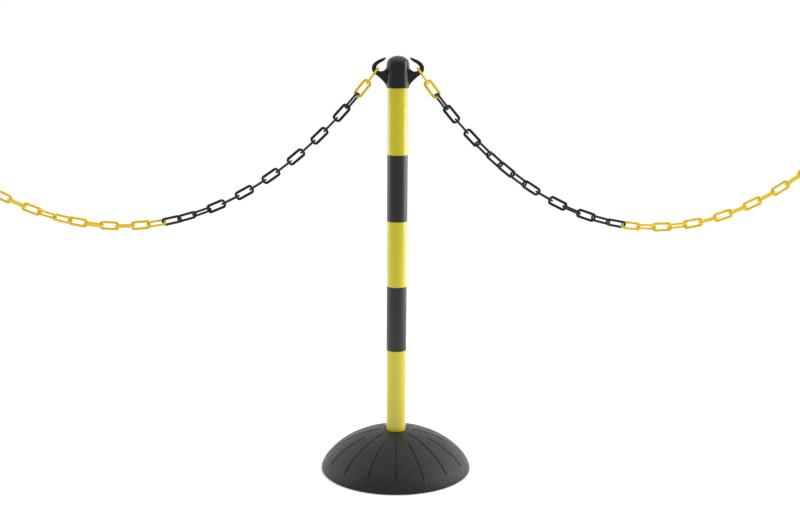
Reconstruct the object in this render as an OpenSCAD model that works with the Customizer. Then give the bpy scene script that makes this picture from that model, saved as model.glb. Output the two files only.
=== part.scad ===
// Chain stanchion: a weighted dome base, a striped tube post, a two-hook head
// and a swag of plastic chain on each hook, drawn as it stands in a line of posts.

/* [Base] */
// Diameter of the base at the floor
base_d = 305; // [280:5:330]
// Height of the dome above the floor
base_h = 85; // [75:1:95]
// Wall thickness of the moulded shell
shell_t = 4; // [3:0.5:5]
// Number of radial grooves, long and short in turn
groove_count = 16; // [8:4:24]
// Width of one groove
groove_w = 3.4; // [2:0.2:4]
// Depth of one groove
groove_deep = 1.8; // [0.8:0.2:2]

/* [Post] */
// Outside diameter of the tube
tube_d = 40; // [38:0.5:41]
// Wall thickness of the tube
tube_t = 1.8; // [1.4:0.2:2.6]
// Overall height from the floor to the top of the head
overall_h = 840; // [780:10:950]
// Height of one black band
band_h = 132; // [90:2:140]
// Height of the middle of the lower band
low_band_z = 318; // [240:1:330]
// Height of the middle of the upper band
high_band_z = 582; // [500:1:600]

/* [Head and hooks] */
// Height of the head
head_h = 62; // [60:1:66]
// Thickness of the flat hooks
hook_t = 5.2; // [5:0.2:6.4]

/* [Chain] */
// Thickness of the link wire
wire_d = 4.4; // [4.2:0.1:4.4]
// Width of the wire along a link's sides
side_w = 5.4; // [5:0.1:5.4]
// Overall length of one link
link_l = 40.6; // [40.6:0.1:41.2]
// Overall width of one link
link_w = 19; // [18.8:0.1:19.4]
// Links in each swag
link_count = 30; // [27:1:30]
// Curve radius at the lowest point of the right swag
right_curve = 400; // [380:1:480]
// Distance from the post to the lowest point of the right swag
right_low_x = 508; // [480:1:560]
// Distance between links of the right swag
right_pitch = 30.8; // [30.8:0.1:31.4]
// Curve radius at the lowest point of the left swag
left_curve = 464; // [380:1:480]
// Distance from the post to the lowest point of the left swag
left_low_x = 551; // [480:1:560]
// Distance between links of the left swag
left_pitch = 31.3; // [30.8:0.1:31.4]

/* [Hidden] */
$fn = 48;
yellow = "#D6CC33";
golden = "#E0B93A";
black = "#2B2A29";
charcoal = "#3C3A38";

// Base
base_r = base_d / 2;
lip_h = 4.5;          // upright edge at the foot of the dome
rim_gap = 1;          // the rim clears the floor, and the pads carry the base
dome_power = 1.38;    // how full the dome's shoulder is
dome_steps = 16;
long_start = 0.22;     // where the long grooves start, as a share of the base's radius
short_start = 0.45;    // where the short ones start
groove_end = 0.94;     // where all of them end
cover_z = 2.2;
cover_t = 2.5;
cover_r = base_r - shell_t - 2;
fit_gap = 0.3;        // between the shell, the ballast and the sleeve
screw_ring_r = 96;
boss_r = 6;
screw_r = 2.2;
screw_l = 16;
screw_head_r = 4.2;
screw_head_h = 1.2;
pad_ring_r = 126;
pad_r = 12;
pad_count = 6;

// Post
tube_r = tube_d / 2;
bore_r = tube_r - tube_t;
running_gap = 0.06;   // radial clearance of the tube in its socket and in the head
socket_r = tube_r + running_gap;
socket_t = 3;
socket_floor_z = 7;
socket_floor_t = 2.9;
socket_top_z = dome_height(base_r - shell_t, base_h - shell_t, lip_h + cover_t,
    socket_r + socket_t) - fit_gap;
mouth_r = tube_r + 1.4;
plug_z = 10;
plug_flange = 2.2;
plug_l = 16;
tube_z = plug_z + plug_flange;
band_t = 0.25;

// Head
head_z = overall_h - head_h;
head_r = tube_r + 1.6;
head_dome_h = 15.5;
head_edge = 0.8;
shoulder_z = head_z + 38;
tube_top_z = shoulder_z - 0.2;
cavity_r = tube_r - 1.5;
cavity_dome_h = 12.5;

// Chain
wire_r = wire_d / 2;
corner_r = 4.8;       // centreline radius of a link's corners, before it is widened
half_l = (link_l - wire_d) / 2;
spread = side_w / wire_d;    // how far a link is widened, which flattens its sides
half_w = round((link_w - side_w) / spread * 500) / 1000;    // rounded, so the pieces of a link meet
seat_x = 39.8;       // where the first link hangs in the hook
seat_z = head_z + 35.6;
first_black = 3;
last_black = 17;

// ---- Shared curves ----

// Height of a dome with its foot at radius r, above the point at radius out.
function dome_height(r, top, foot, out) =
    foot + (top - foot) * pow(sin(acos(out / r)), dome_power);

// Points down a dome with its foot at radius r, out from start_r to end_r.
function dome_points(r, top, foot, start_r, end_r) =
    let (start = acos(start_r / r), end = acos(end_r / r))
    [for (i = [0 : dome_steps])
        let (t = start + (end - start) * i / dome_steps)
        [r * cos(t), foot + (top - foot) * pow(sin(t), dome_power)]];

// One point on a smooth curve between b and c, led in by a and out by d.
function curve_point(a, b, c, d, t) =
    0.5 * (2 * b + (c - a) * t + (2 * a - 5 * b + 4 * c - d) * t * t
        + (3 * b - a - 3 * c + d) * t * t * t);

// A smooth open curve through every point of p, with n steps between two points.
function smooth_curve(p, n) = concat(
    [for (i = [0 : len(p) - 2]) for (j = [0 : n - 1])
        curve_point(p[max(i - 1, 0)], p[i], p[i + 1], p[min(i + 2, len(p) - 1)], j / n)],
    [p[len(p) - 1]]);

// ---- Base ----

module at_screws() {
    for (turn = [45 : 90 : 315])
        rotate(turn) translate([screw_ring_r, 0, 0]) children();
}

// A blade that cuts one groove into the dome, following its curve out from radius r1.
module groove_blade(r1) {
    r2 = base_r * groove_end;
    floor_line = dome_points(base_r - groove_deep, base_h - groove_deep, lip_h, r1, r2);
    rotate([90, 0, 0])
        linear_extrude(groove_w, center = true)
            polygon(concat(floor_line, [[r2, base_h + 1], [r1, base_h + 1]]));
}

module base_shell() {
    outer = dome_points(base_r, base_h, lip_h, mouth_r, base_r);
    inner_r = base_r - shell_t;
    inner = dome_points(inner_r, base_h - shell_t, lip_h + cover_t, mouth_r, inner_r);
    turned_in = [for (i = [len(inner) - 1 : -1 : 0]) inner[i]];
    middle_r = base_r - shell_t / 2;
    middle = dome_points(middle_r, base_h - shell_t / 2, 0, 0, middle_r);
    color(charcoal) difference() {
        union() {
            rotate_extrude($fn = 96)
                polygon(concat(outer, [[base_r, rim_gap], [inner_r, rim_gap]], turned_in));
            intersection() {
                at_screws() translate([0, 0, cover_z + cover_t]) cylinder(r = boss_r, h = base_h);
                rotate_extrude($fn = 96) polygon(concat(middle, [[0, 0]]));
            }
        }
        at_screws() cylinder(r = screw_r + 0.1, h = cover_z + screw_l + 2);
        for (i = [0 : groove_count - 1])
            rotate(i * 360 / groove_count - 90)
                groove_blade(i % 2 == 0 ? base_r * long_start : base_r * short_start);
    }
}

module ballast() {
    ballast_r = base_r - shell_t - fit_gap;
    hole_r = socket_r + socket_t + fit_gap;
    filled = dome_points(ballast_r, base_h - shell_t - 1, lip_h + cover_t, hole_r, ballast_r);
    color("#8C8A86") difference() {
        rotate_extrude($fn = 96)
            polygon(concat(filled,
                [[ballast_r, cover_z + cover_t], [hole_r, cover_z + cover_t]]));
        at_screws() translate([0, 0, -1]) cylinder(r = boss_r + fit_gap, h = base_h + 2);
    }
}

module base_cover() {
    color(black) translate([0, 0, cover_z]) difference() {
        cylinder(r = cover_r, h = cover_t, $fn = 96);
        at_screws() translate([0, 0, -1]) cylinder(r = screw_r + 0.3, h = cover_t + 2);
    }
}

module cover_screws() {
    color("silver") at_screws() {
        translate([0, 0, cover_z]) cylinder(r = screw_r, h = screw_l);
        translate([0, 0, cover_z - screw_head_h]) cylinder(r = screw_head_r, h = screw_head_h);
    }
}

module anti_slip_pads() {
    color("#1C1C1C") {
        cylinder(r = pad_r, h = cover_z);
        for (turn = [0 : 360 / pad_count : 359])
            rotate(turn) translate([pad_ring_r, 0, 0]) cylinder(r = pad_r, h = cover_z);
    }
}

module post_socket() {
    color("#4A4947") translate([0, 0, socket_floor_z]) difference() {
        cylinder(r = socket_r + socket_t, h = socket_top_z - socket_floor_z);
        translate([0, 0, socket_floor_t]) cylinder(r = socket_r, h = base_h);
    }
}

// ---- Post ----

module post_tube() {
    color(yellow) translate([0, 0, tube_z]) difference() {
        cylinder(r = tube_r, h = tube_top_z - tube_z);
        translate([0, 0, -1]) cylinder(r = bore_r, h = overall_h);
    }
}

module foot_plug() {
    color(black) translate([0, 0, plug_z]) difference() {
        union() {
            cylinder(r = tube_r - 0.1, h = plug_flange);
            cylinder(r = bore_r - 0.05, h = plug_flange + plug_l);
        }
        translate([0, 0, plug_flange]) cylinder(r = bore_r - 2.5, h = plug_l + 1);
    }
}

module film_band(mid_z) {
    color(black) translate([0, 0, mid_z - band_h / 2]) difference() {
        cylinder(r = tube_r + band_t, h = band_h);
        translate([0, 0, -1]) cylinder(r = tube_r + 0.02, h = band_h + 2);
    }
}

module lower_band() {
    film_band(low_band_z);
}

module upper_band() {
    film_band(high_band_z);
}

// ---- Head ----

// Outline of one hook, out from the cap's wall and back to it, above the head's bottom edge.
hook_outline = [
    [20.6, 0.8], [22.4, 4.4], [26.7, 10.4], [32.1, 16.1], [38.5, 21.9], [44.2, 25.9],
    [48.6, 30.2], [50.6, 35.5], [50.3, 41], [48.6, 44.9], [45.3, 48.7], [39.8, 52.5],
    [31.6, 56.3], [25, 58.3], [23.1, 57.9], [23.3, 56.2], [25.2, 54], [29.3, 50.7],
    [35.8, 46.8], [40, 43], [41.7, 39.2], [40.4, 35], [36.6, 32.6], [31.5, 31.8],
    [27.4, 33.4], [24.2, 36], [22.4, 39.4], [21.4, 44], [20.6, 46]
];

module hook_blade() {
    rotate([90, 0, 0])
        linear_extrude(hook_t, center = true)
            polygon([for (p = smooth_curve(hook_outline, 3)) [p[0] - 20 + tube_r, p[1] + head_z]]);
}

module hook_head() {
    top = overall_h - head_dome_h;
    steps = 12;
    outer = [for (i = [0 : steps])
        [head_r * cos(i * 90 / steps), top + head_dome_h * sin(i * 90 / steps)]];
    cavity = [for (i = [steps : -1 : 0])
        [cavity_r * cos(i * 90 / steps), top + cavity_dome_h * sin(i * 90 / steps)]];
    color(black) union() {
        rotate_extrude()
            polygon(concat(
                [[socket_r, head_z], [head_r - head_edge, head_z], [head_r, head_z + head_edge]],
                outer, cavity, [[cavity_r, shoulder_z], [socket_r, shoulder_z]]));
        hook_blade();
        mirror([1, 0, 0]) hook_blade();
    }
}

// ---- Chain ----

// Extra twist of each swag's links about its length: [link number, degrees].
right_twist = [[2, 0], [3, -25], [4, 0], [6, 0], [7, -38], [8, -37], [9, -68], [10, -52], [12, -90],
    [13, -94], [14, -80], [15, -85], [16, -59], [17, -57], [18, -39], [19, -40], [20, -20],
    [21, -40], [22, -3], [23, 0]];
left_twist = [[2, 0], [3, -25], [4, 0], [14, 0], [15, -35], [16, -45], [17, -65], [18, -57],
    [19, -92], [20, -85], [23, -80], [24, -52], [25, -45], [26, -30], [27, 0]];

function sinh(u) = (exp(u) - exp(-u)) / 2;
function asinh(u) = ln(u + sqrt(u * u + 1));
function arc_height(s, curve) = curve * (sqrt(1 + pow(s / curve, 2)) - 1);

// The place, in X and Z, that lies k links along a swag from the hook.
function hang_point(k, curve, low_x, pitch) =
    let (start = curve * sinh((seat_x - low_x) / curve), s = start + k * pitch)
    [low_x + curve * asinh(s / curve),
        seat_z + arc_height(s, curve) - arc_height(start, curve)];

// One link of round wire, lying flat along X.
module narrow_link() {
    bar_l = 2 * (half_l - corner_r);
    end_l = 2 * (half_w - corner_r);
    for (side = [-1, 1]) {
        translate([0, side * half_w, 0]) rotate([0, 90, 0])
            cylinder(d = wire_d, h = bar_l, center = true, $fn = 24);
        translate([side * half_l, 0, 0]) rotate([90, 0, 0])
            cylinder(d = wire_d, h = end_l, center = true, $fn = 24);
        for (up = [-1, 1])
            translate([side * bar_l / 2, up * end_l / 2, 0])
                rotate(side > 0 ? (up > 0 ? 0 : 270) : (up > 0 ? 90 : 180))
                    rotate_extrude(angle = 90, $fn = 32)
                        translate([corner_r, 0]) circle(d = wire_d, $fn = 24);
    }
}

// The same link widened, so that its sides are a flatter oval than its ends.
module chain_link() {
    scale([1, spread, 1]) narrow_link();
}

// Links first to last of one swag. Each lies between two points of the hanging curve.
module hung_links(first, last, curve, low_x, pitch, twist) {
    for (k = [first : last]) {
        a = hang_point(k - 1, curve, low_x, pitch);
        b = hang_point(k, curve, low_x, pitch);
        roll = (k % 2 == 1 ? 90 : 0) + lookup(k, twist);
        color(k < first_black || k > last_black ? golden : black)
            translate([(a[0] + b[0]) / 2, 0, (a[1] + b[1]) / 2])
                rotate([0, -atan2(b[1] - a[1], b[0] - a[0]), 0])
                    rotate([90 + roll, 0, 0]) chain_link();
    }
}

module right_links(first, last) {
    hung_links(first, last, right_curve, right_low_x, right_pitch, right_twist);
}

module left_links(first, last) {
    mirror([1, 0, 0]) hung_links(first, last, left_curve, left_low_x, left_pitch, left_twist);
}

base_shell();
ballast();
base_cover();
cover_screws();
anti_slip_pads();
post_socket();
post_tube();
foot_plug();
lower_band();
upper_band();
hook_head();
right_links(1, 1);  // right_hook_link
right_links(2, 2);  // right_near_link
right_links(3, 7);  // right_black_links_1
right_links(8, 12);  // right_black_links_2
right_links(13, 17);  // right_black_links_3
right_links(18, 21);  // right_yellow_links_1
right_links(22, 25);  // right_yellow_links_2
right_links(26, link_count - 1);  // right_yellow_links_3
right_links(link_count, link_count);  // right_end_link
left_links(1, 1);  // left_hook_link
left_links(2, 2);  // left_near_link
left_links(3, 7);  // left_black_links_1
left_links(8, 12);  // left_black_links_2
left_links(13, 17);  // left_black_links_3
left_links(18, 21);  // left_yellow_links_1
left_links(22, 25);  // left_yellow_links_2
left_links(26, link_count - 1);  // left_yellow_links_3
left_links(link_count, link_count);  // left_end_link
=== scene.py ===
import math

import bmesh
import bpy
import numpy as np
from mathutils import Matrix, Vector


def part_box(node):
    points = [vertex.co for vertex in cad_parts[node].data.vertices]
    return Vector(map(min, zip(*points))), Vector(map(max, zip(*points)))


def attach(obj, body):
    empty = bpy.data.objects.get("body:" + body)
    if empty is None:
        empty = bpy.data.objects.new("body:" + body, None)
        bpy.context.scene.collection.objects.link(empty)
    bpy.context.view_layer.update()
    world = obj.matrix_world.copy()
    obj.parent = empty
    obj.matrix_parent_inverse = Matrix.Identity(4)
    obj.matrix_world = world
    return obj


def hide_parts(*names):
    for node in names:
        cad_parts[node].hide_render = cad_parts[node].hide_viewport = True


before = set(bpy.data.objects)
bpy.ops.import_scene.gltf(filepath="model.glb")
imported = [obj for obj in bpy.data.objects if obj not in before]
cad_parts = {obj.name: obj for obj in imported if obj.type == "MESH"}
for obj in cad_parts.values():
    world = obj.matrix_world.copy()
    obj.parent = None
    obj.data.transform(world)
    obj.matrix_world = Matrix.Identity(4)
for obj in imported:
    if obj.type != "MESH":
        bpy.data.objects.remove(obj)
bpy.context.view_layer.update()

bl_info = {
    "name": "Chain Stanchion",
    "version": (1, 0, 0),
    "blender": (4, 5, 0),
    "location": "3D View > Sidebar > Stanchion",
    "description": "Builds the finished pieces of a chain stanchion on its packed frame",
    "category": "Object",
}

MM = 0.001


# ---- Reading the frame ----

def linear(code):
    """Turns an sRGB hex colour into the linear values that shaders take."""
    parts = [int(code[i:i + 2], 16) / 255 for i in (1, 3, 5)]
    return [c / 12.92 if c <= 0.04045 else ((c + 0.055) / 1.055) ** 2.4 for c in parts]


def box_mm(node):
    """A frame node's lowest and highest corner, in millimetres."""
    low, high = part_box(node)
    return np.array(low) / MM, np.array(high) / MM


SHELL_LOW, SHELL_HIGH = box_mm("base_shell")
COVER_LOW, COVER_HIGH = box_mm("base_cover")
SOCKET_LOW, SOCKET_HIGH = box_mm("post_socket")
TUBE_LOW, TUBE_HIGH = box_mm("post_tube")
PLUG_LOW, PLUG_HIGH = box_mm("foot_plug")
HEAD_LOW, HEAD_HIGH = box_mm("hook_head")
SCREW_LOW, SCREW_HIGH = box_mm("cover_screws")
PAD_HIGH = box_mm("anti_slip_pads")[1]

# Circles under the base, in mm from its axis.
SCREW_CIRCLE = 96
PAD_CIRCLE = 126

# Where the grooves start, long and short in turn, and where they all end, as shares of the rim's radius.
GROOVE_STARTS = (0.22, 0.45)
GROOVE_END = 0.94
# The direction of the first groove, towards the front.
FRONT = -math.pi / 2

# One hook from the cap's wall out and back, in mm from the axis and above the head's lower edge.
HOOK_OUTLINE = [
    (20.6, 0.8), (22.4, 4.4), (26.7, 10.4), (32.1, 16.1), (38.5, 21.9), (44.2, 25.9),
    (48.6, 30.2), (50.6, 35.5), (50.3, 41), (48.6, 44.9), (45.3, 48.7), (39.8, 52.5),
    (31.6, 56.3), (25, 58.3), (23.1, 57.9), (23.3, 56.2), (25.2, 54), (29.3, 50.7),
    (35.8, 46.8), (40, 43), (41.7, 39.2), (40.4, 35), (36.6, 32.6), (31.5, 31.8),
    (27.4, 33.4), (24.2, 36), (22.4, 39.4), (21.4, 44), (20.6, 46),
]


# ---- Sizes and colours that a user may change ----

def length(name, text, default):
    """A length property, with its default given in millimetres."""
    return bpy.props.FloatProperty(name=name, description=text, default=default * MM,
                                   min=0, unit="LENGTH", precision=5)


def colour(name, text, code):
    """A colour property, with its default given as sRGB hex."""
    return bpy.props.FloatVectorProperty(name=name, description=text, default=linear(code),
                                         size=3, min=0, max=1, subtype="COLOR")


class BaseSizes(bpy.types.PropertyGroup):
    """Sizes of the weighted base."""

    rim_radius: length("Rim radius", "Radius of the dome at the floor", SHELL_HIGH[0])
    lip: length("Lip", "Height of the upright edge at the foot of the dome", 4.5)
    wall: length("Wall", "Thickness of the moulded shell", 4)
    mouth_radius: length("Mouth radius", "Radius of the opening round the post", 21.4)
    groove_width: length("Groove width", "Width of one radial groove", 3.4)
    groove_depth: length("Groove depth", "Depth of one radial groove", 1.8)
    grooves: bpy.props.IntProperty(name="Grooves", description="Grooves, long and short in turn",
                                   default=16, min=4)
    fullness: bpy.props.FloatProperty(name="Fullness", description="How full the dome's shoulder is",
                                      default=1.38, min=1)


class PostSizes(bpy.types.PropertyGroup):
    """Sizes of the tube, its socket and its bands."""

    tube_radius: length("Tube radius", "Outside radius of the tube", TUBE_HIGH[0])
    tube_wall: length("Tube wall", "Thickness of the tube's wall", 1.8)
    socket_bore: length("Socket bore", "Inside radius of the socket", SOCKET_HIGH[0] - 3)
    film: length("Film", "Thickness of the band film", 0.23)
    film_lap: length("Film lap", "Width of the overlap at the back of each band", 6)


class HeadSizes(bpy.types.PropertyGroup):
    """Sizes of the hook head."""

    cap_radius: length("Cap radius", "Outside radius of the cap", TUBE_HIGH[0] + 1.6)
    dome: length("Dome", "Height of the cap's rounded top", 15.5)
    hook_thickness: length("Hook thickness", "Thickness of the flat hooks", 5.2)
    edge: length("Edge", "Rounding along the hooks' edges", 1.1)
    fillet: length("Fillet", "Softness of the join of a hook and the cap", 2.5)
    mesh_step: length("Mesh step", "Spacing of the points on the head", 0.7)


class ChainSizes(bpy.types.PropertyGroup):
    """Sizes of one moulded chain link."""

    wire: length("Wire", "Thickness of a link's wire", 4.4)
    side: length("Side", "Width of the wire along a link's sides", 5.4)
    link: length("Link length", "Overall length of a link", 40.6)
    width: length("Link width", "Overall width of a link", 19)
    corner: length("Corner", "Radius of a link's corners, before it is widened", 4.8)
    flash: length("Flash", "Height of the fine line where the mould's halves met", 0.09)


class Finishes(bpy.types.PropertyGroup):
    """Colours of the pieces."""

    base: colour("Base", "Grained polyethylene of the base", "#1A1817")
    tube: colour("Tube", "Yellow of the extruded tube", "#C0B40A")
    film: colour("Bands", "Black of the band film", "#121110")
    head: colour("Head", "Black of the moulded head", "#120F0E")
    chain_yellow: colour("Yellow links", "Yellow of the chain", "#DCBA1A")
    chain_black: colour("Black links", "Black of the chain", "#0C0B0B")
    concrete: colour("Ballast", "Grey of the cast ballast", "#8F8C86")
    cover: colour("Cover", "Black of the base cover", "#262524")
    rubber: colour("Pads", "Black of the anti-slip pads", "#191919")
    socket: colour("Socket", "Grey of the socket and the foot plug", "#4A4846")
    zinc: colour("Screws", "Silver of the zinc plating", "#C3C6C8")
    floor: colour("Floor", "White of the studio floor", "#FCFCFC")


GROUPS = {
    "stanchion_base": BaseSizes,
    "stanchion_post": PostSizes,
    "stanchion_head": HeadSizes,
    "stanchion_chain": ChainSizes,
    "stanchion_finish": Finishes,
}


# ---- Making meshes ----

def soften(corners, closed=True, steps=5):
    """An outline from (across, up, radius) corners in mm, each rounded, with points beside the rounds
    that keep long faces flat."""
    line = []
    count = len(corners)
    for i, (across, up, radius) in enumerate(corners):
        here = np.array([across, up], float)
        if radius <= 0 or (not closed and i in (0, count - 1)):
            line.append(here)
            continue
        sides = [np.array(corners[(i + turn) % count][:2], float) - here for turn in (-1, 1)]
        reach = [np.linalg.norm(side) for side in sides]
        before, after = sides[0] / reach[0], sides[1] / reach[1]
        half = math.acos(float(np.clip(before @ after, -1, 1))) / 2
        cut = min(radius / math.tan(half), 0.4 * min(reach))
        line.append(here + before * cut * 1.25)
        for t in np.linspace(0, 1, steps + 1):
            line.append(here + before * cut * (1 - t) ** 2 + after * cut * t ** 2)
        line.append(here + after * cut * 1.25)
    return np.array(line)


def ring_angles(count):
    """Even angles all the way round."""
    return np.arange(count) * 2 * math.pi / count


def ring_spots(radius, count, start=0):
    """Places spread evenly round a circle."""
    turn = start + ring_angles(count)
    return np.stack([radius * np.cos(turn), radius * np.sin(turn)], -1)


def screw_spots():
    """Where the four cover screws stand."""
    return ring_spots(SCREW_CIRCLE, 4, math.pi / 4)


def pad_spots():
    """Where the outer anti-slip pads lie."""
    return ring_spots(PAD_CIRCLE, 6)


def level_ring(radius, turn, height):
    """Points at the given angles round one level ring."""
    return np.stack([radius * np.cos(turn), radius * np.sin(turn), np.full(len(turn), height)], -1)


def turned(line, count=96, centre=(0, 0)):
    """Points of an outline (radius, height) turned about an upright axis, as a grid."""
    turn = ring_angles(count)
    line = np.asarray(line)
    return np.stack([
        centre[0] + line[:, :1] * np.cos(turn),
        centre[1] + line[:, :1] * np.sin(turn),
        np.repeat(line[:, 1:], count, 1)], -1)


def woven(grid, closed):
    """The points and four-sided faces of a grid whose columns join up, and whose rows do if closed."""
    rows, columns = grid.shape[:2]
    row = np.arange(rows if closed else rows - 1)[:, None]
    column = np.arange(columns)[None]
    after_row, after_column = (row + 1) % rows, (column + 1) % columns
    faces = np.stack([row * columns + column, row * columns + after_column,
                      after_row * columns + after_column, after_row * columns + column], -1)
    return grid.reshape(-1, 3), faces.reshape(-1, 4)


def joined(parts):
    """Several (points, faces) pairs as one."""
    points, faces, start = [], [], 0
    for more_points, more_faces in parts:
        points.append(more_points)
        faces.append(more_faces + start)
        start += len(more_points)
    return np.concatenate(points), np.concatenate(faces)


def make_piece(name, shape, material, body, nodes, sharp=None):
    """Makes a smooth mesh from points in mm, ties it to its body, and hides the frame nodes that it stands
    for.
    """
    points, faces = shape
    mesh = bpy.data.meshes.new(name)
    mesh.from_pydata((points * MM).tolist(), [], faces.tolist())
    cleaner = bmesh.new()
    cleaner.from_mesh(mesh)
    bmesh.ops.remove_doubles(cleaner, verts=cleaner.verts, dist=2e-6)
    bmesh.ops.recalc_face_normals(cleaner, faces=cleaner.faces)
    cleaner.to_mesh(mesh)
    cleaner.free()
    mesh.shade_smooth()
    if sharp:
        mesh.set_sharp_from_angle(angle=math.radians(sharp))
    mesh.materials.append(material)
    piece = bpy.data.objects.new(name, mesh)
    bpy.context.scene.collection.objects.link(piece)
    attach(piece, body)
    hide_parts(*nodes)
    return piece


def smooth_step(value):
    """Eases from 0 to 1."""
    value = np.clip(value, 0, 1)
    return value * value * (3 - 2 * value)


def sector_angles(radius, count, offsets, between, start):
    """Column angles at one radius: set distances in mm beside each of count lines, then even steps."""
    half = math.pi / count
    near = np.arcsin(np.clip(np.array(offsets) / radius, 0, math.sin(half * 0.6)))
    steps = np.arange(1, between + 1) / (between + 1)
    side = np.concatenate([near, near[-1] + (half - near[-1]) * steps])
    sector = np.concatenate([-side[:0:-1], side, [half]])
    return (start + 2 * half * np.arange(count)[:, None] + sector[None]).reshape(-1)


# ---- Making materials ----

def add_node(material, kind, settings=None, links=None):
    """Adds a shader node, sets its attributes or sockets by name, and links its sockets to outputs."""
    node = material.node_tree.nodes.new(kind)
    for key, value in (settings or {}).items():
        if hasattr(node, key):
            setattr(node, key, value)
        else:
            node.inputs[key].default_value = value
    for socket, output in (links or {}).items():
        material.node_tree.links.new(output, node.inputs[socket])
    return node


def make_material(name, tint, roughness, ior=1.5, **sockets):
    """A new material with one Principled shader, whose uniform values are set on its sockets."""
    material = bpy.data.materials.new(name)
    material.use_nodes = True
    material.diffuse_color = (*tint, 1)
    shader = material.node_tree.nodes["Principled BSDF"]
    shader.inputs["Base Color"].default_value = (*tint, 1)
    shader.inputs["Roughness"].default_value = roughness
    shader.inputs["IOR"].default_value = ior
    for socket, value in sockets.items():
        shader.inputs[socket.replace("_", " ")].default_value = value
    return material, shader


def connect(material, output, socket):
    """Links one output to one input socket."""
    material.node_tree.links.new(output, socket)


def object_space(material, stretch=(1, 1, 1)):
    """The piece's own coordinates, in metres, stretched."""
    place = add_node(material, "ShaderNodeTexCoord")
    return add_node(material, "ShaderNodeMapping", {"Scale": stretch},
                    {"Vector": place.outputs["Object"]}).outputs["Vector"]


def per_mm(size):
    """A texture's scale for a pattern that repeats about every size millimetres."""
    return 1 / (size * MM)


def tinted(material, shader, tint, factor, dark, light):
    """Varies the base colour between two shades of its tint, by factor."""
    blend = add_node(material, "ShaderNodeMix", {"data_type": "RGBA"})
    blend.inputs[6].default_value = (*[c * dark for c in tint], 1)
    blend.inputs[7].default_value = (*[min(1, c * light) for c in tint], 1)
    connect(material, factor, blend.inputs[0])
    connect(material, blend.outputs[2], shader.inputs["Base Color"])


def roughened(material, shader, factor, low, high):
    """Varies the roughness between two values, by factor."""
    spread = add_node(material, "ShaderNodeMapRange", {"To Min": low, "To Max": high}, {"Value": factor})
    connect(material, spread.outputs["Result"], shader.inputs["Roughness"])


def embossed(material, shader, height, depth_mm, strength=1.0):
    """Raises the surface by height, with depth_mm between its lowest and highest."""
    bump = add_node(material, "ShaderNodeBump", {"Distance": depth_mm * MM, "Strength": strength},
                    {"Height": height})
    connect(material, bump.outputs["Normal"], shader.inputs["Normal"])


def grained_polyethylene(tint):
    """Rotationally moulded polyethylene off a grained mould."""
    # The mould's leather grain breaks the light into a sparkle, most of all towards the key light.
    material, shader = make_material("grained_polyethylene", tint, 0.4, 1.5, Specular_IOR_Level=0.24)
    space = object_space(material)
    # The real grain is about 1 mm across, too fine to show, so it is drawn 3 mm across.
    cells = add_node(material, "ShaderNodeTexVoronoi", {"feature": "SMOOTH_F1", "Scale": per_mm(3),
                     "Smoothness": 0.2}, {"Vector": space})
    fine = add_node(material, "ShaderNodeTexNoise", {"Scale": per_mm(2), "Detail": 3.0}, {"Vector": space})
    height = add_node(material, "ShaderNodeMath", {"operation": "MULTIPLY_ADD"},
                      {0: fine.outputs["Fac"], 2: cells.outputs["Distance"]})
    height.inputs[1].default_value = 0.5
    cloud = add_node(material, "ShaderNodeTexNoise", {"Scale": per_mm(38), "Detail": 4.0}, {"Vector": space})
    tinted(material, shader, tint, cloud.outputs["Fac"], 0.6, 1.3)
    roughened(material, shader, cells.outputs["Distance"], 0.2, 0.5)
    embossed(material, shader, height.outputs[0], 1.1)
    return material


def extruded_pvc(tint):
    """Extruded rigid PVC tube, coloured through and glossy."""
    # The die leaves lines along the tube, so faint that only the edges of a highlight waver.
    material, shader = make_material("extruded_pvc", tint, 0.2, 1.53, Coat_Weight=0.35, Coat_Roughness=0.12)
    # The die lines are about 0.3 mm apart, too fine to show, so they are drawn 1.5 mm apart.
    along = object_space(material, (per_mm(1.5), per_mm(1.5), per_mm(260)))
    lines = add_node(material, "ShaderNodeTexNoise", {"Scale": 1.0, "Detail": 2.0}, {"Vector": along})
    embossed(material, shader, lines.outputs["Fac"], 0.012, 0.6)
    roughened(material, shader, lines.outputs["Fac"], 0.16, 0.26)
    cloud = add_node(material, "ShaderNodeTexNoise", {"Scale": per_mm(90), "Detail": 2.0},
                     {"Vector": object_space(material)})
    tinted(material, shader, tint, cloud.outputs["Fac"], 0.97, 1.03)
    return material


def vinyl_film(tint):
    """Self-adhesive calendered vinyl film, laid round the tube."""
    # The adhesive under the film gives it a faint orange peel and a softer gloss than the tube's.
    material, shader = make_material("vinyl_film", tint, 0.34, 1.5)
    peel = add_node(material, "ShaderNodeTexNoise", {"Scale": per_mm(3), "Detail": 2.0},
                    {"Vector": object_space(material)})
    embossed(material, shader, peel.outputs["Fac"], 0.02, 0.5)
    roughened(material, shader, peel.outputs["Fac"], 0.28, 0.4)
    return material


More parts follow.
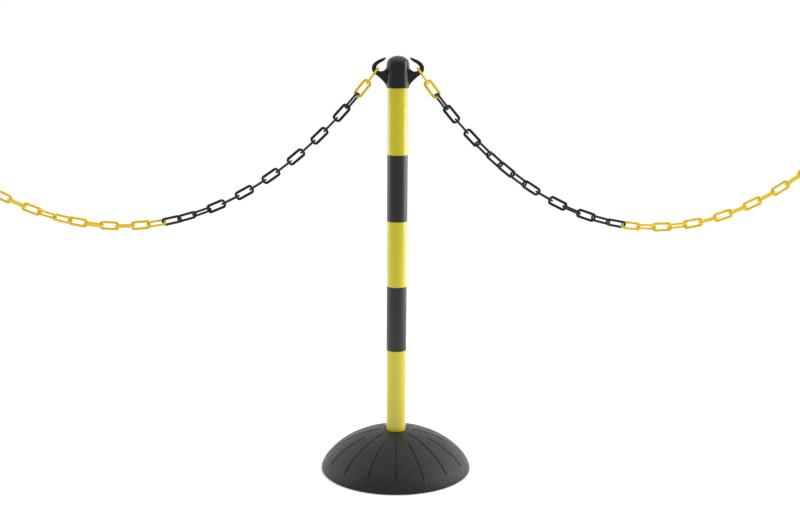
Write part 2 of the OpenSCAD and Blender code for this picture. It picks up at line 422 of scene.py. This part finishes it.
def moulded_polypropylene(tint):
    """Injection-moulded polypropylene off a polished mould, with the line where its halves met."""
    # A crisp gloss that dulls a little in clouds, and a fine raised line up the middle of the sides.
    material, shader = make_material("moulded_polypropylene", tint, 0.17, 1.49, Specular_IOR_Level=0.4)
    space = object_space(material)
    cloud = add_node(material, "ShaderNodeTexNoise", {"Scale": per_mm(9), "Detail": 5.0}, {"Vector": space})
    roughened(material, shader, cloud.outputs["Fac"], 0.1, 0.24)
    place = add_node(material, "ShaderNodeSeparateXYZ", None, {"Vector": space})
    aside = add_node(material, "ShaderNodeMath", {"operation": "ABSOLUTE"}, {0: place.outputs["Y"]})
    # The real line is 0.15 mm wide, too fine to show, so it is drawn 0.5 mm wide.
    ridge = add_node(material, "ShaderNodeMapRange", {"From Max": 0.25 * MM, "To Min": 1.0, "To Max": 0.0},
                     {"Value": aside.outputs[0]})
    fine = add_node(material, "ShaderNodeTexNoise", {"Scale": per_mm(0.9), "Detail": 2.0}, {"Vector": space})
    height = add_node(material, "ShaderNodeMath", {"operation": "MULTIPLY_ADD"},
                      {0: fine.outputs["Fac"], 2: ridge.outputs["Result"]})
    height.inputs[1].default_value = 0.12
    embossed(material, shader, height.outputs[0], 0.1, 0.7)
    tinted(material, shader, tint, cloud.outputs["Fac"], 0.85, 1.15)
    return material


def chain_polyethylene(name, tint, gloss):
    """Injection-moulded polyethylene chain, waxy and a little translucent."""
    # Light goes a little way into it, so the edges are soft and the shadows warm.
    material, shader = make_material(name, tint, gloss, 1.5, Specular_IOR_Level=0.3,
                                     Subsurface_Weight=0.12, Subsurface_Scale=0.002)
    space = object_space(material)
    cloud = add_node(material, "ShaderNodeTexNoise", {"Scale": per_mm(6), "Detail": 4.0}, {"Vector": space})
    fine = add_node(material, "ShaderNodeTexNoise", {"Scale": per_mm(0.8), "Detail": 2.0}, {"Vector": space})
    tinted(material, shader, tint, cloud.outputs["Fac"], 0.9, 1.1)
    roughened(material, shader, cloud.outputs["Fac"], gloss - 0.06, gloss + 0.08)
    embossed(material, shader, fine.outputs["Fac"], 0.03, 0.5)
    return material


def cast_concrete(tint):
    """Fine cast concrete, with sand grains and pinholes."""
    # Dry and matt, speckled by sand, with small round holes from trapped air.
    material, shader = make_material("cast_concrete", tint, 0.9, 1.5)
    space = object_space(material)
    sand = add_node(material, "ShaderNodeTexNoise", {"Scale": per_mm(2.5), "Detail": 8.0}, {"Vector": space})
    holes = add_node(material, "ShaderNodeTexVoronoi", {"Scale": per_mm(7)}, {"Vector": space})
    pits = add_node(material, "ShaderNodeMapRange", {"From Min": 0.08, "From Max": 0.22},
                    {"Value": holes.outputs["Distance"]})
    height = add_node(material, "ShaderNodeMath", {"operation": "MULTIPLY_ADD"},
                      {0: sand.outputs["Fac"], 2: pits.outputs["Result"]})
    height.inputs[1].default_value = 0.4
    tinted(material, shader, tint, sand.outputs["Fac"], 0.6, 1.3)
    embossed(material, shader, height.outputs[0], 0.6)
    return material


def plain_moulding(name, tint, grain_mm):
    """Injection-moulded polypropylene off a spark-eroded mould, for pieces that are mostly hidden."""
    # An even, fine matt that hides fingerprints.
    material, shader = make_material(name, tint, 0.48, 1.49, Specular_IOR_Level=0.4)
    space = object_space(material)
    spark = add_node(material, "ShaderNodeTexNoise", {"Scale": per_mm(grain_mm), "Detail": 3.0},
                     {"Vector": space})
    roughened(material, shader, spark.outputs["Fac"], 0.4, 0.58)
    embossed(material, shader, spark.outputs["Fac"], 0.06, 0.6)
    return material


def zinc_plated_steel(tint):
    """Zinc-plated steel, bright and a little cloudy."""
    # A cool silver with soft clouds from the plating bath.
    material, shader = make_material("zinc_plated_steel", tint, 0.3, 1.5, Metallic=1.0)
    cloud = add_node(material, "ShaderNodeTexNoise", {"Scale": per_mm(1.6), "Detail": 5.0},
                     {"Vector": object_space(material)})
    roughened(material, shader, cloud.outputs["Fac"], 0.2, 0.42)
    tinted(material, shader, tint, cloud.outputs["Fac"], 0.85, 1.08)
    return material


def moulded_epdm(tint):
    """Moulded EPDM rubber, matt, with a light bloom."""
    # Dead matt black with a grey bloom in patches.
    material, shader = make_material("moulded_epdm", tint, 0.8, 1.52, Specular_IOR_Level=0.3)
    space = object_space(material)
    bloom = add_node(material, "ShaderNodeTexNoise", {"Scale": per_mm(5), "Detail": 5.0}, {"Vector": space})
    tinted(material, shader, tint, bloom.outputs["Fac"], 0.8, 1.9)
    embossed(material, shader, bloom.outputs["Fac"], 0.05, 0.6)
    return material


# ---- The base ----

def dome(share, radius, top, foot, fullness):
    """A point of a dome and its outward direction, at share of the way (0 foot, 1 crown) as an angle."""
    turn = share * math.pi / 2
    rise = np.sin(turn)
    across = radius * np.cos(turn)
    up = foot + (top - foot) * rise ** fullness
    out_across = fullness * (top - foot) * rise ** (fullness - 1) * np.cos(turn)
    out_up = radius * rise
    size = np.hypot(out_across, out_up) + 1e-12
    return across, up, np.where(size > 1e-9, out_across / size, 1), out_up / size


class STANCHION_OT_base_shell(bpy.types.Operator):
    """Build the grained dome shell of the base, with its radial grooves"""

    bl_idname = "stanchion.base_shell"
    bl_label = "Base Shell"

    def execute(self, context):
        size = context.scene.stanchion_base
        radius, lip = size.rim_radius / MM, size.lip / MM
        wall, mouth = size.wall / MM, size.mouth_radius / MM
        half_width, deep = size.groove_width / MM / 2, size.groove_depth / MM
        mouth_turn = math.acos(mouth / radius)
        crown = lip + (SHELL_HIGH[2] - lip) / math.sin(mouth_turn) ** size.fullness

        # Rows run out from the mouth, close together where the grooves end.
        share = np.linspace(mouth_turn / (math.pi / 2), 0, 1500)
        across, up, _, _ = dome(share, radius, crown, lip, size.fullness)
        along = np.concatenate([[0], np.cumsum(np.hypot(np.diff(across), np.diff(up)))])
        first = [float(np.interp(start * radius, across, along)) + half_width for start in GROOVE_STARTS]
        last = float(np.interp(GROOVE_END * radius, across, along)) - half_width
        near = np.array([0, 0.35, 0.7, 1.05, 1.4, 1.9, 2.8])
        rows = np.concatenate([np.arange(1.2, along[-1], 2.6), [along[-1]]]
                              + [spot + turn * near for spot in (*first, last) for turn in (-1, 1)])
        rows = np.unique(np.round(rows[(rows > 1.1) & (rows <= along[-1])], 2))
        row_share = np.interp(rows, along, share)
        across, up, out_across, out_up = dome(row_share, radius, crown, lip, size.fullness)

        offsets = np.array([0, 0.35, 0.7, 1, 1.3, 1.65, 2.3]) * half_width / 1.4
        pitch = 2 * math.pi / size.grooves

        def columns(r):
            return sector_angles(r, size.grooves, offsets, 4, FRONT)

        grid = []
        for r, z, ox, oz, s in zip(across, up, out_across, out_up, rows):
            turn = columns(r)
            line = np.round((turn - FRONT) / pitch)
            aside = r * np.sin(turn - FRONT - line * pitch)
            start = np.where(line % 2 == 0, first[0], first[1])
            beyond = np.maximum(np.maximum(start - s, s - last), 0)
            away = np.hypot(aside, beyond) / half_width
            dent = deep * (1 - smooth_step((away - 0.35) / 0.7))
            grid.append(np.stack([(r - dent * ox) * np.cos(turn), (r - dent * ox) * np.sin(turn),
                                  z - dent * oz], -1))

        inner_radius, inner_foot = radius - wall, COVER_LOW[2] + 4.8
        inner_share = np.linspace(0, math.acos(mouth / inner_radius) / (math.pi / 2), 26)
        inner = dome(inner_share, inner_radius, crown - wall, inner_foot, size.fullness)
        inner = np.stack(inner[:2], -1)
        rim = soften([(radius, lip, 0), (radius, SHELL_LOW[2], 0.8), (inner_radius, SHELL_LOW[2], 0.8),
                      (inner_radius, inner_foot, 0)], closed=False)[1:-1]
        top = SHELL_HIGH[2]
        lip_round = [(mouth, top - 1.5), (mouth, top - 0.9), (mouth + 0.12, top - 0.45),
                     (mouth + 0.4, top - 0.16), (mouth + 0.8, top - 0.06)]
        closing = [level_ring(r, columns(r), z) for r, z in [*rim, *inner]]
        opening = [level_ring(r, columns(r), z) for r, z in lip_round]
        shell = woven(np.array(opening + grid + closing), True)

        # Four screw bosses stand inside the shell.
        boss = soften([(2.3, 4.7, 0.3), (6, 4.7, 0.3), (6, 46, 0), (2.3, 46, 0)])
        bosses = [woven(turned(boss, 32, spot), True) for spot in screw_spots()]
        tint = context.scene.stanchion_finish.base
        make_piece("base_shell_moulding", joined([shell, *bosses]), grained_polyethylene(tint),
                   "base", ["base_shell"])
        return {"FINISHED"}


class STANCHION_OT_underside(bpy.types.Operator):
    """Build the ballast's finish, the ribbed cover, its screws and the anti-slip pads"""

    bl_idname = "stanchion.underside"
    bl_label = "Underside"

    def execute(self, context):
        tints = context.scene.stanchion_finish
        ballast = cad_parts["ballast"]
        ballast.data.materials.clear()
        ballast.data.materials.append(cast_concrete(tints.concrete))

        self.cover(tints)
        self.screws(tints)
        self.pads(tints)
        return {"FINISHED"}

    def cover(self, tints):
        """A plate whose underside has sunk panels between ribs."""
        radius, low, high = COVER_HIGH[0], COVER_LOW[2], COVER_HIGH[2]
        offsets = [0, 1.2, 1.7, 2.4, 3.4]
        ring_ribs = np.array([16, 44, 76, 108, 143])
        beside = [ring_ribs + d for d in (-2.6, -1.9, -1.3, 1.3, 1.9, 2.6)]
        rings = np.unique(np.round(np.concatenate([np.linspace(0.5, radius - 0.6, 40), *beside]), 2))
        grid = []
        for r in rings[rings < radius - 0.5]:
            turn = sector_angles(r, 12, offsets, 7, math.pi / 12)
            nearest = np.round((turn - math.pi / 12) / (math.pi / 6)) * math.pi / 6 + math.pi / 12
            rib = np.abs(r * np.sin(turn - nearest))
            rib = np.minimum(rib, np.abs(r - ring_ribs).min())
            spot = np.stack([r * np.cos(turn), r * np.sin(turn)], -1)
            for centre, reach in [(p, 13.5) for p in pad_spots()] + [(p, 7) for p in screw_spots()]:
                rib = np.minimum(rib, np.maximum(np.linalg.norm(spot - centre, axis=1) - reach, 0))
            sunk = 0.8 * smooth_step((rib - 1.2) / 0.8) * (r > 16)
            grid.append(np.column_stack([spot, low + sunk]))
        edge = [(radius - 0.15, low + 0.15), (radius, low + 0.5), (radius, high - 0.3),
                (radius - 0.3, high), (1, high)]
        for r, z in edge:
            turn = sector_angles(r, 12, offsets, 7, math.pi / 12)
            grid.append(level_ring(r, turn, z))
        make_piece("base_cover_plate", woven(np.array(grid), True),
                   plain_moulding("eroded_polypropylene", tints.cover, 1.2),
                   "base", ["base_cover"])

    def screws(self, tints):
        """Pan heads with a cross recess, on plain shanks."""
        low, high = SCREW_LOW[2], SCREW_HIGH[2]
        turn = ring_angles(64)
        shapes = []
        for centre in screw_spots():
            rows = [(r, low + max(0, r - 3.5) ** 2 * 0.5) for r in np.arange(0, 4.05, 0.2)]
            rows += [(4.2, low + 0.5), (4.2, low + 1.15), (2.2, low + 1.2), (2.2, high - 1),
                     (1, high), (0, high)]
            grid = []
            for r, z in rows:
                x, y = r * np.cos(turn), r * np.sin(turn)
                arm = np.minimum(np.maximum(np.abs(x) - 0.5, np.abs(y) - 2.3),
                                 np.maximum(np.abs(y) - 0.5, np.abs(x) - 2.3))
                sunk = 0.9 * smooth_step(-arm / 0.3 + 0.5) * (z < low + 0.6) * (r < 3)
                grid.append(np.stack([centre[0] + x, centre[1] + y, z + sunk], -1))
            shapes.append(woven(np.array(grid), False))
        make_piece("cover_screw_set", joined(shapes), zinc_plated_steel(tints.zinc), "base",
                   ["cover_screws"], sharp=50)

    def pads(self, tints):
        """Rubber discs with rings moulded in the tread."""
        high = PAD_HIGH[2]
        corners = [(0, 0, 0)]
        for r in (3, 6, 9):
            corners += [(r - 0.6, 0, 0.15), (r - 0.4, 0.6, 0.15),
                        (r + 0.4, 0.6, 0.15), (r + 0.6, 0, 0.15)]
        corners += [(12, 0, 0.5), (12, high, 0.2), (0, high, 0)]
        line = soften(corners, closed=False)
        shapes = [woven(turned(line, 64, centre), False) for centre in [(0, 0), *pad_spots()]]
        make_piece("anti_slip_pad_set", joined(shapes), moulded_epdm(tints.rubber), "base",
                   ["anti_slip_pads"])


# ---- The post ----

class STANCHION_OT_socket(bpy.types.Operator):
    """Build the socket in the base and the plug in the tube's foot"""

    bl_idname = "stanchion.socket"
    bl_label = "Socket and Foot Plug"

    def execute(self, context):
        bore = context.scene.stanchion_post.socket_bore / MM
        outer, low, high = SOCKET_HIGH[0], SOCKET_LOW[2], SOCKET_HIGH[2]
        material = plain_moulding("eroded_polypropylene_grey", context.scene.stanchion_finish.socket, 0.9)
        line = soften([(0, low, 0), (outer, low, 0.6), (outer, high, 0.5), (bore + 0.8, high, 0.3),
                       (bore, high - 1.6, 0.4), (bore, low + 2.9, 0.4), (0, low + 2.9, 0)], closed=False)
        make_piece("post_socket_sleeve", woven(turned(line, 128), False), material, "base",
                   ["post_socket"])

        flange, barrel = PLUG_HIGH[0], PLUG_HIGH[0] - 1.75
        low, high = PLUG_LOW[2], PLUG_HIGH[2]
        line = soften([(0, low, 0), (flange, low, 0.7), (flange, low + 2.2, 0.2), (barrel, low + 2.2, 0.2),
                       (barrel, high, 0.8), (barrel - 2.45, high, 0.5), (barrel - 2.45, low + 2.2, 0.8),
                       (0, low + 2.2, 0)], closed=False)
        make_piece("foot_plug_moulding", woven(turned(line, 128), False), material, "post",
                   ["foot_plug"])
        return {"FINISHED"}


class STANCHION_OT_post_tube(bpy.types.Operator):
    """Build the yellow tube"""

    bl_idname = "stanchion.post_tube"
    bl_label = "Post Tube"

    def execute(self, context):
        size = context.scene.stanchion_post
        outer = size.tube_radius / MM
        inner = outer - size.tube_wall / MM
        low, high = TUBE_LOW[2], TUBE_HIGH[2]
        line = soften([(inner, low, 0.3), (outer, low, 0.5), (outer, high, 0.5), (inner, high, 0.3)])
        make_piece("post_tube_extrusion", woven(turned(line, 160), True),
                   extruded_pvc(context.scene.stanchion_finish.tube), "post", ["post_tube"])
        return {"FINISHED"}


class STANCHION_OT_bands(bpy.types.Operator):
    """Build the two black film bands, each lapped over itself at the back"""

    bl_idname = "stanchion.bands"
    bl_label = "Bands"

    def execute(self, context):
        size = context.scene.stanchion_post
        material = vinyl_film(context.scene.stanchion_finish.film)
        under = size.tube_radius / MM + 0.02
        thick, lap = size.film / MM, size.film_lap / MM
        for node in ("lower_band", "upper_band"):
            low, high = (corner[2] for corner in box_mm(node))
            line = soften([(0, low, 0), (1, low, 0.25), (1, high, 0.25), (0, high, 0)], steps=3)
            turn = np.sort(np.concatenate([ring_angles(144), math.pi / 2 + np.array([-1.02, -1, 1, 1.02])
                                           * lap / 2 / under]))
            # The lap lies at the back, where the film is double.
            double = np.abs(turn - math.pi / 2) * under < lap / 2 + 0.01
            radius = under + line[:, :1] * thick * np.where(double, 1.7, 1)
            grid = np.stack([radius * np.cos(turn), radius * np.sin(turn),
                             np.repeat(line[:, 1:], len(turn), 1)], -1)
            make_piece(node + "_film", woven(grid, True), material, "post", [node], sharp=60)
        return {"FINISHED"}


# ---- The head ----

def flat_distance(outline, low, high, step):
    outline = np.array(outline, float)
    across = np.arange(low[0], high[0], step)
    up = np.arange(low[1], high[1], step)
    spots = np.stack(np.meshgrid(across, up, indexing="ij"), -1).reshape(-1, 2)
    distance = np.full(len(spots), 1e9)
    inside = np.zeros(len(spots), bool)
    for a, b in zip(outline, np.roll(outline, -1, 0)):
        side = b - a
        if side @ side < 1e-12:
            continue
        share = np.clip((spots - a) @ side / (side @ side), 0, 1)
        distance = np.minimum(distance, np.linalg.norm(spots - a - share[:, None] * side, axis=1))
        if a[1] != b[1]:
            level = (a[1] > spots[:, 1]) != (b[1] > spots[:, 1])
            inside ^= level & (spots[:, 0] < side[0] * (spots[:, 1] - a[1]) / side[1] + a[0])
    table = np.where(inside, -distance, distance).reshape(len(across), len(up))

    def look_up(x, z):
        i = np.clip((x - low[0]) / step, 0, len(across) - 1.001)
        j = np.clip((z - low[1]) / step, 0, len(up) - 1.001)
        i0, j0 = i.astype(int), j.astype(int)
        u, v = i - i0, j - j0
        return ((1 - u) * (1 - v) * table[i0, j0] + u * (1 - v) * table[i0 + 1, j0]
                + (1 - u) * v * table[i0, j0 + 1] + u * v * table[i0 + 1, j0 + 1])

    return look_up


def smooth_line(points, steps):
    """A smooth curve through every point."""
    points = np.array(points, float)
    line = []
    for i in range(len(points) - 1):
        a, b, c, d = (points[min(max(i + k, 0), len(points) - 1)] for k in (-1, 0, 1, 2))
        for t in np.arange(steps) / steps:
            line.append(0.5 * (2 * b + (c - a) * t + (2 * a - 5 * b + 4 * c - d) * t ** 2
                               + (3 * b - a - 3 * c + d) * t ** 3))
    return np.array(line + [points[-1]])


def skin(distance, low, high, step):
    """A mesh over the surface where distance is zero, with a point in each cell that it crosses."""
    axes = [np.arange(low[i], high[i] + step, step) for i in range(3)]
    spots = np.stack(np.meshgrid(*axes, indexing="ij"), -1)
    value = distance(spots.reshape(-1, 3)).reshape(spots.shape[:3])
    inside = value < 0
    cells = tuple(n - 1 for n in inside.shape)

    def corner(array, offset):
        return array[tuple(slice(o, o + n) for o, n in zip(offset, cells))]

    count = sum(corner(inside, (i, j, k)).astype(int) for i in (0, 1) for j in (0, 1) for k in (0, 1))
    mixed = (count > 0) & (count < 8)
    number = np.full(cells, -1)
    number[mixed] = np.arange(mixed.sum())
    points = np.stack(np.nonzero(mixed), -1) * step + np.array(low) + step / 2
    faces = []
    for axis in range(3):
        ahead = [slice(None)] * 3
        behind = [slice(None)] * 3
        ahead[axis], behind[axis] = slice(1, None), slice(None, -1)
        crossing = inside[tuple(ahead)] != inside[tuple(behind)]
        spot = np.stack(np.nonzero(crossing), -1)
        b, c = (axis + 1) % 3, (axis + 2) % 3
        spot = spot[(spot[:, b] > 0) & (spot[:, c] > 0) & (spot[:, b] < cells[b]) & (spot[:, c] < cells[c])]
        quad = []
        for db, dc in ((0, 0), (-1, 0), (-1, -1), (0, -1)):
            cell = spot.copy()
            cell[:, b] += db
            cell[:, c] += dc
            quad.append(number[cell[:, 0], cell[:, 1], cell[:, 2]])
        faces.append(np.stack(quad, -1))
    nudge = 0.05
    for _ in range(5):
        slope = np.stack([(distance(points + nudge * e) - distance(points - nudge * e)) / (2 * nudge)
                          for e in np.eye(3)], -1)
        move = distance(points)[:, None] * slope / np.maximum((slope ** 2).sum(1, keepdims=True), 0.2)
        points = points - np.clip(move, -step / 2, step / 2)
    return points, np.concatenate(faces)


class STANCHION_OT_hook_head(bpy.types.Operator):
    """Build the moulded cap with its two hooks, blended together with fillets"""

    bl_idname = "stanchion.hook_head"
    bl_label = "Hook Head"

    def execute(self, context):
        size = context.scene.stanchion_head
        cap, rise, thick = size.cap_radius / MM, size.dome / MM, size.hook_thickness / MM
        edge, fillet, step = size.edge / MM, size.fillet / MM, size.mesh_step / MM
        bore, height = TUBE_HIGH[0] + 0.22, HEAD_HIGH[2] - HEAD_LOW[2]
        shoulder = TUBE_HIGH[2] - HEAD_LOW[2] + 0.2
        quarter = np.linspace(0, math.pi / 2, 24)
        top = height - rise
        outside = np.stack([cap * np.cos(quarter), top + rise * np.sin(quarter)], -1)
        cavity = np.stack([18.5 * np.cos(quarter[::-1]), top + (rise - 3) * np.sin(quarter[::-1])], -1)
        profile = [(bore, 0.5), (bore + 0.4, 0), (cap - 1.0, 0), (cap - 0.35, 0.3), (cap, 1.0), *outside,
                   (-4, height), (-4, height - 3), *cavity, (18.5, shoulder), (bore, shoulder)]
        cap_distance = flat_distance(profile, (-1, -3), (56, height + 3), 0.15)
        hook_distance = flat_distance(smooth_line(HOOK_OUTLINE, 5), (0, -3), (56, height + 3), 0.15)

        def distance(p):
            around = np.hypot(p[:, 0], p[:, 1])
            body = cap_distance(around, p[:, 2])
            flat = hook_distance(np.abs(p[:, 0]), p[:, 2]) + edge
            side = np.abs(p[:, 1]) - thick / 2 + edge
            hook = (np.hypot(np.maximum(flat, 0), np.maximum(side, 0))
                    + np.minimum(np.maximum(flat, side), 0) - edge)
            share = np.clip(0.5 + 0.5 * (hook - body) / fillet, 0, 1)
            both = hook + (body - hook) * share - fillet * share * (1 - share)
            hollow = np.maximum(around - bore, p[:, 2] - shoulder)
            return np.maximum(np.maximum(both, -hollow), -p[:, 2])

        points, faces = skin(distance, (-52.15, -24.15, -1.3), (52.3, 24.3, height + 1.4), step)
        points[:, 2] += HEAD_LOW[2]
        make_piece("hook_head_moulding", (points, faces),
                   moulded_polypropylene(context.scene.stanchion_finish.head), "head",
                   ["hook_head"])
        return {"FINISHED"}


# ---- The chain ----

def link_shape(size):
    """One link, lying flat and centred, in mm: wire swept round an oblong, and then widened."""
    wire, widen = size.wire / MM / 2, size.side / size.wire
    half_long = size.link / MM / 2 - wire
    half_wide = (size.width - size.side) / MM / 2 / widen
    corner, flash = size.corner / MM, size.flash / MM
    path = []
    for sx, sy, start in ((1, 1, 0), (-1, 1, 90), (-1, -1, 180), (1, -1, 270)):
        for t in np.radians(start + np.linspace(0, 90, 9)):
            path.append((sx * (half_long - corner) + corner * math.cos(t),
                         sy * (half_wide - corner) + corner * math.sin(t), math.cos(t), math.sin(t)))
        ahead = {0: (-1, 1), 90: (-1, -1), 180: (1, -1), 270: (1, 1)}[start]
        a, n = path[-1], math.radians(start + 90)
        b = (ahead[0] * (half_long - corner) + corner * math.cos(n),
             ahead[1] * (half_wide - corner) + corner * math.sin(n))
        for share in (0.04, 0.5, 0.96):
            path.append((a[0] + (b[0] - a[0]) * share, a[1] + (b[1] - a[1]) * share,
                         math.cos(n), math.sin(n)))
    path = np.array(path)
    # The wire is a little squarer than an oval, with a fine ridge where the mould's halves met.
    squareness = 0.88
    around = np.radians([0, 5, 22, 40, 58, 75, 90, 105, 122, 140, 158, 175,
                         180, 185, 202, 220, 238, 255, 270, 285, 302, 320, 338, 355])
    out = wire * np.sign(np.cos(around)) * np.abs(np.cos(around)) ** squareness
    up = wire * np.sign(np.sin(around)) * np.abs(np.sin(around)) ** squareness
    out = out + np.where(np.abs(np.sin(around)) < 0.01, flash, 0) * np.sign(np.cos(around))
    grid = np.stack([path[:, :1] + path[:, 2:3] * out, widen * (path[:, 1:2] + path[:, 3:4] * out),
                     np.repeat(up[None], len(path), 0)], -1)
    return woven(grid, True)


def link_places(node):
    """Where each link of a frame node lies, as (centre in mm, axes), from the hook outwards."""
    solid = bmesh.new()
    solid.from_mesh(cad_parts[node].data)
    bmesh.ops.remove_doubles(solid, verts=solid.verts, dist=1e-6)
    seen, places = set(), []
    for face in solid.faces:
        if face.index in seen:
            continue
        waiting, found = [face], []
        seen.add(face.index)
        while waiting:
            here = waiting.pop()
            found.append(here)
            for e in here.edges:
                for other in e.link_faces:
                    if other.index not in seen:
                        seen.add(other.index)
                        waiting.append(other)
        area = np.array([f.calc_area() for f in found])
        spot = np.array([f.calc_center_median() for f in found]) / MM
        centre = (area[:, None] * spot).sum(0) / area.sum()
        spread = (area[:, None] * (spot - centre)).T @ (spot - centre)
        axes = np.linalg.eigh(spread)[1][:, ::-1]
        axes[:, 0] *= np.sign(axes[0, 0] * centre[0])
        axes[:, 2] = np.cross(axes[:, 0], axes[:, 1])
        places.append((centre, axes))
    solid.free()
    return sorted(places, key=lambda place: abs(place[0][0]))


class STANCHION_OT_chain(bpy.types.Operator):
    """Build every link of both swags, each where the frame has it"""

    bl_idname = "stanchion.chain"
    bl_label = "Chain"

    def execute(self, context):
        tints = context.scene.stanchion_finish
        points, faces = link_shape(context.scene.stanchion_chain)
        yellow = chain_polyethylene("chain_polyethylene_yellow", tints.chain_yellow, 0.36)
        black = chain_polyethylene("chain_polyethylene_black", tints.chain_black, 0.32)
        groups = ["hook_link", "near_link", "black_links_1", "black_links_2", "black_links_3",
                  "yellow_links_1", "yellow_links_2", "yellow_links_3", "end_link"]
        for side in ("right", "left"):
            number = 0
            for group in groups:
                node = f"{side}_{group}"
                dark = group.startswith("black")
                body = f"{side}_hook_link" if group == "hook_link" else f"{side}_swag"
                for centre, axes in link_places(node):
                    number += 1
                    make_piece(f"{side}_link_{number:02d}", (points @ axes.T + centre, faces),
                               black if dark else yellow, body, [node])
            if number < 20:
                raise RuntimeError(f"only {number} links were found in the {side} swag")
        return {"FINISHED"}


# ---- The stage ----

class STANCHION_OT_stage(bpy.types.Operator):
    """Set out the floor, the soft lights and the camera"""

    bl_idname = "stanchion.stage"
    bl_label = "Stage"

    def execute(self, context):
        scene = context.scene
        tint = scene.stanchion_finish.floor
        # Matt white paper, wide enough that its edge is never seen.
        material, shader = make_material("white_paper_painted_shade", tint, 0.9, 1.45, Specular_IOR_Level=0.1)
        fibre = add_node(material, "ShaderNodeTexNoise", {"Scale": per_mm(4), "Detail": 3.0},
                         {"Vector": object_space(material)})
        embossed(material, shader, fibre.outputs["Fac"], 0.02, 0.2)
        # Painted shade: the paper's colour darkens to half its white towards the front, standing in for the
        # light falling off there, where the paper ends in a real studio.
        place = add_node(material, "ShaderNodeSeparateXYZ", None, {"Vector": object_space(material)})
        near = add_node(material, "ShaderNodeMapRange", {"From Min": -2.4, "From Max": -0.6},
                        {"Value": place.outputs["Y"]})
        # Painted shade, darker towards the front.
        tinted(material, shader, tint, near.outputs["Result"], 0.5, 1)
        points = level_ring(60, ring_angles(96), 0)
        mesh = bpy.data.meshes.new("studio_floor")
        mesh.from_pydata(points.tolist(), [], [list(range(len(points)))])
        mesh.materials.append(material)
        floor = bpy.data.objects.new("studio_floor", mesh)
        scene.collection.objects.link(floor)

        world = bpy.data.worlds.new("studio")
        world.use_nodes = True
        background = world.node_tree.nodes["Background"]
        background.inputs["Color"].default_value = (1, 1, 1, 1)
        # The studio is white behind and overhead, and dim towards the front.
        around = add_node(world, "ShaderNodeSeparateXYZ", None,
                          {"Vector": add_node(world, "ShaderNodeTexCoord").outputs["Generated"]})
        depth = add_node(world, "ShaderNodeMapRange", {"From Min": -0.8, "From Max": 0.0, "To Min": 0.6,
                         "To Max": 1.0}, {"Value": around.outputs["Y"]})
        above = add_node(world, "ShaderNodeMapRange", {"From Min": 0.4, "From Max": 0.85, "To Min": 0.0,
                         "To Max": 0.3}, {"Value": around.outputs["Z"]})
        both = add_node(world, "ShaderNodeMath", None, {0: depth.outputs[0], 1: above.outputs[0]})
        connect(world, both.outputs[0], background.inputs["Strength"])
        scene.world = world
        # A wide soft box at the right, one overhead and a slim one at the left.
        self.light("key", (2.05, 0.45, 1.0), (0, 0, 0.5), (1.9, 1.9), 42)
        self.light("top", (0.3, -0.2, 2.6), (0, 0, 0), (2.4, 2.4), 8)
        self.light("edge", (-2.0, 0.8, 1.0), (0, 0, 0.5), (0.8, 1.9), 12)

        camera = bpy.data.objects.new("camera", bpy.data.cameras.new("camera"))
        camera.data.sensor_width = 36
        camera.data.lens = 55.125
        camera.data.clip_end = 200
        camera.matrix_world = (Matrix.Translation((0.0063, -2.399, 0.923))
                               @ Matrix.Rotation(math.radians(78.36), 4, "X")
                               @ Matrix.Rotation(math.radians(0.36), 4, "Z"))
        scene.collection.objects.link(camera)
        scene.camera = camera
        scene.view_settings.view_transform = "Standard"
        return {"FINISHED"}

    def light(self, name, place, aim, size, power):
        """One soft box that faces a point, and isn't seen itself."""
        data = bpy.data.lights.new(name, "AREA")
        data.shape = "RECTANGLE"
        data.size, data.size_y = size
        data.energy = power
        lamp = bpy.data.objects.new(name, data)
        lamp.location = place
        lamp.rotation_euler = (Vector(aim) - Vector(place)).to_track_quat("-Z", "Y").to_euler()
        lamp.visible_camera = False
        bpy.context.scene.collection.objects.link(lamp)


OPERATORS = (
    STANCHION_OT_stage,
    STANCHION_OT_base_shell,
    STANCHION_OT_underside,
    STANCHION_OT_socket,
    STANCHION_OT_post_tube,
    STANCHION_OT_bands,
    STANCHION_OT_hook_head,
    STANCHION_OT_chain,
)


class STANCHION_PT_sidebar(bpy.types.Panel):
    """Lists the stanchion's pieces, sizes and colours"""

    bl_idname = "STANCHION_PT_sidebar"
    bl_label = "Chain Stanchion"
    bl_space_type = "VIEW_3D"
    bl_region_type = "UI"
    bl_category = "Stanchion"

    def draw(self, context):
        for operator in OPERATORS:
            self.layout.operator(operator.bl_idname, text=operator.bl_label)
        for name, group in GROUPS.items():
            part = self.layout.box()
            part.label(text=group.__doc__)
            for key in group.__annotations__:
                part.prop(getattr(context.scene, name), key)


CLASSES = (*GROUPS.values(), *OPERATORS, STANCHION_PT_sidebar)


def register():
    for cls in CLASSES:
        bpy.utils.register_class(cls)
    for name, group in GROUPS.items():
        setattr(bpy.types.Scene, name, bpy.props.PointerProperty(type=group))


def unregister():
    for name in GROUPS:
        delattr(bpy.types.Scene, name)
    for cls in reversed(CLASSES):
        bpy.utils.unregister_class(cls)


def main():
    register()
    bpy.ops.stanchion.stage()
    bpy.ops.stanchion.base_shell()
    bpy.ops.stanchion.underside()
    bpy.ops.stanchion.socket()
    bpy.ops.stanchion.post_tube()
    bpy.ops.stanchion.bands()
    bpy.ops.stanchion.hook_head()
    bpy.ops.stanchion.chain()


if __name__ == "__main__":
    main()
